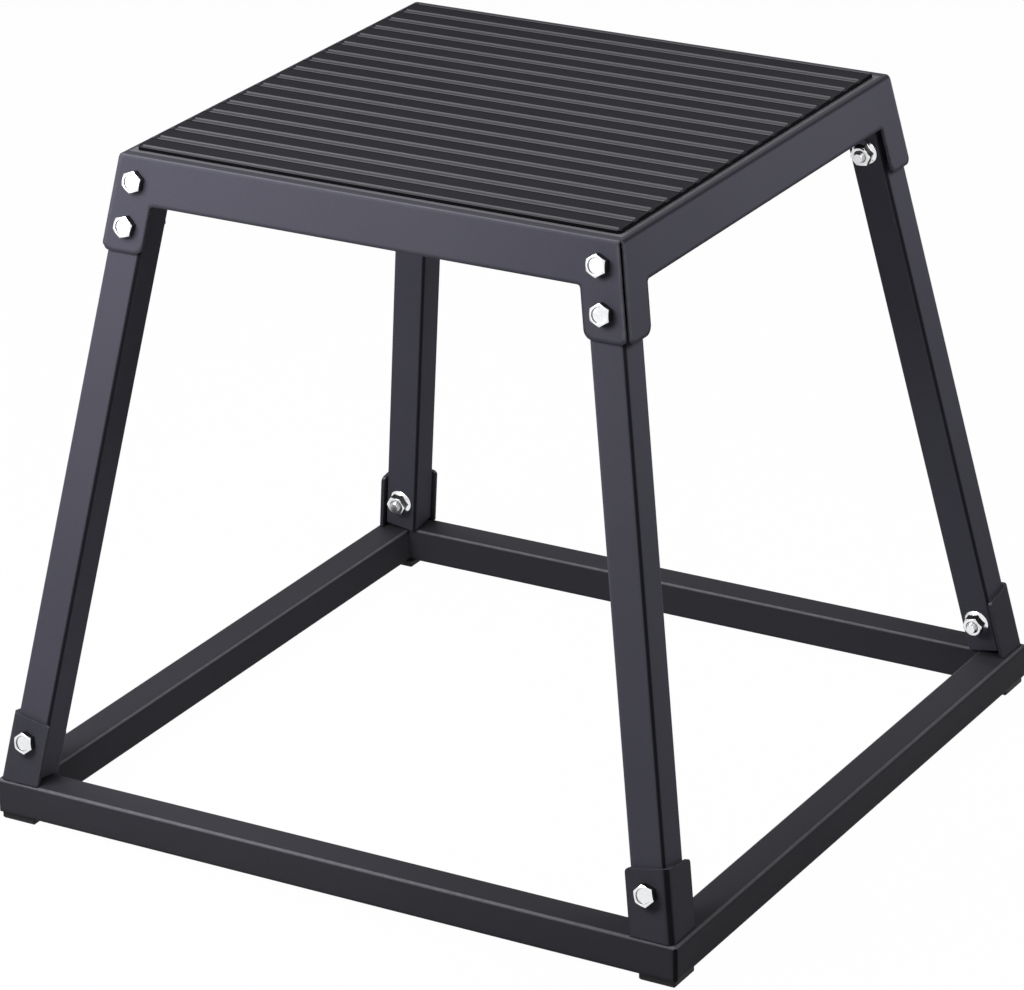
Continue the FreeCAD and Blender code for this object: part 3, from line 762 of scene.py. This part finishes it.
def corner_fasteners(corner, outward):
    """The bolts and nuts that hold one leg to the deck and to its base bracket."""
    thread_bite = 0.1 * mm
    thread_share = 1.6
    deck_bolts = read_fasteners("deck_bolts_" + corner, outward, 2)
    deck_nuts = read_fasteners("deck_nuts_" + corner, -outward, 2)
    base_bolt = read_fasteners("base_bolt_" + corner, outward, 1)
    base_nut = read_fasteners("base_nut_" + corner, -outward, 1)
    along = deck_bolts[0].line - deck_bolts[1].line
    flats = 2 * deck_bolts[0].radius * flats_of_corners
    bore = deck_bolts[0].low_radius - thread_bite
    thread_length = thread_share * (deck_nuts[0].high - deck_nuts[0].low)
    bolts_piece("deck_bolts_" + corner, deck_bolts, thread_length, along, head_turns[corner][:2])
    bolts_piece("base_bolt_" + corner, base_bolt, thread_length, along, head_turns[corner][2:])
    nuts_piece("deck_nuts_" + corner, deck_nuts, flats, bore, along, nut_turns[corner][:2])
    nuts_piece("base_nut_" + corner, base_nut, flats, bore, along, nut_turns[corner][2:])


for end_name, end in (("front", -1.0), ("rear", 1.0)):
    for side_name in ("left", "right"):
        corner_fasteners(end_name + "_" + side_name, Vector((0.0, end, 0.0)))


# Floor and light
def seen_directly(tree):
    """1 for rays from the camera, a mirror or glass, 0 for rays that carry light."""
    path = add_node(tree, "ShaderNodeLightPath").outputs
    mirror = larger(tree, path["Is Glossy Ray"], path["Is Transmission Ray"])
    return larger(tree, path["Is Camera Ray"], mirror)


def studio_floor():
    floor_half = 8.0
    white_share = 0.985
    paper_seen = 0.85
    paper_bounce = 0.6
    shape = bmesh.new()
    bmesh.ops.create_grid(shape, x_segments=1, y_segments=1, size=floor_half)
    mesh = bpy.data.meshes.new("studio_floor")
    shape.to_mesh(mesh)
    shape.free()
    floor = bpy.data.objects.new("studio_floor", mesh)
    bpy.context.scene.collection.objects.link(floor)
    material, tree, shader = new_material("studio_paper")
    seen = seen_directly(tree)
    tree.links.new(remap(tree, seen, 0.0, 1.0, paper_bounce, paper_seen), shader.inputs["Base Color"])
    shader.inputs["Roughness"].default_value = 0.9
    shader.inputs["Specular IOR Level"].default_value = 0.0
    glow = add_node(tree, "ShaderNodeEmission", {"Color": grey(1.0, 1.0, 1.0), "Strength": 1.0})
    mix = add_node(tree, "ShaderNodeMixShader", {0: product(tree, seen, white_share),
                                                 1: shader.outputs[0], 2: glow.outputs[0]})
    tree.links.new(mix.outputs[0], tree.nodes["Material Output"].inputs["Surface"])
    mesh.materials.append(material)


def studio_world():
    ambient = 0.02
    world = bpy.data.worlds.new("studio_white")
    world.use_nodes = True
    tree = world.node_tree
    light = tree.nodes["Background"]
    light.inputs["Color"].default_value = grey(1.0, 1.0, 1.0)
    strength = remap(tree, seen_directly(tree), 0.0, 1.0, ambient, 1.0)
    tree.links.new(strength, light.inputs["Strength"])
    bpy.context.scene.world = world


def softbox(name, azimuth, elevation, distance, size, power, blue=1.0):
    """A square lamp aimed just under the deck; azimuth 0 is in front of the box, 90 to its right."""
    aim_height = 420.0 * mm
    turn = math.radians(azimuth)
    rise = math.radians(elevation)
    away = Vector((math.sin(turn) * math.cos(rise), -math.cos(turn) * math.cos(rise), math.sin(rise)))
    lamp = bpy.data.lights.new(name, "AREA")
    lamp.shape = "SQUARE"
    lamp.size = size
    lamp.energy = power
    lamp.color = (1.0, 1.0, blue)
    item = bpy.data.objects.new(name, lamp)
    item.location = Vector((0.0, 0.0, aim_height)) + away * distance
    item.rotation_euler = away.to_track_quat("Z", "Y").to_euler()
    bpy.context.scene.collection.objects.link(item)


studio_floor()
studio_world()
softbox("front_left_low", azimuth=-30.0, elevation=10.0, distance=0.9, size=0.4, power=1.6)
softbox("front_left_softbox", azimuth=-30.0, elevation=28.0, distance=0.9, size=0.4, power=3.4)
softbox("front_softbox", azimuth=-10.0, elevation=28.0, distance=0.9, size=0.4, power=3.5)
softbox("rear_left_high", azimuth=-120.0, elevation=60.0, distance=1.6, size=0.8, power=14.0)
softbox("right_softbox", azimuth=90.0, elevation=28.0, distance=0.8, size=0.35, power=2.35,
        blue=0.97)
softbox("rear_right_softbox", azimuth=110.0, elevation=28.0, distance=0.8, size=0.35, power=1.65,
        blue=0.97)


# Camera at the photograph's view
def photo_camera():
    eye = Vector((1565.103, -2652.659, 1475.869)) * mm
    right = Vector((0.8644830516, 0.5022710078, -0.0198214066))
    up = Vector((-0.1781713132, 0.3430550811, 0.9222625410))
    back = Vector((0.4700255702, -0.7937487298, 0.3860555884))
    lens = bpy.data.cameras.new("photo_camera")
    lens.sensor_width = 36.0
    lens.lens = 176.41577
    lens.clip_start = 0.1
    lens.clip_end = 50.0
    camera = bpy.data.objects.new("photo_camera", lens)
    turn = Matrix((right, up, back)).transposed().to_4x4()
    camera.matrix_world = Matrix.Translation(eye) @ turn
    bpy.context.scene.collection.objects.link(camera)
    bpy.context.scene.camera = camera


photo_camera()
bpy.context.scene.view_settings.view_transform = "Standard"
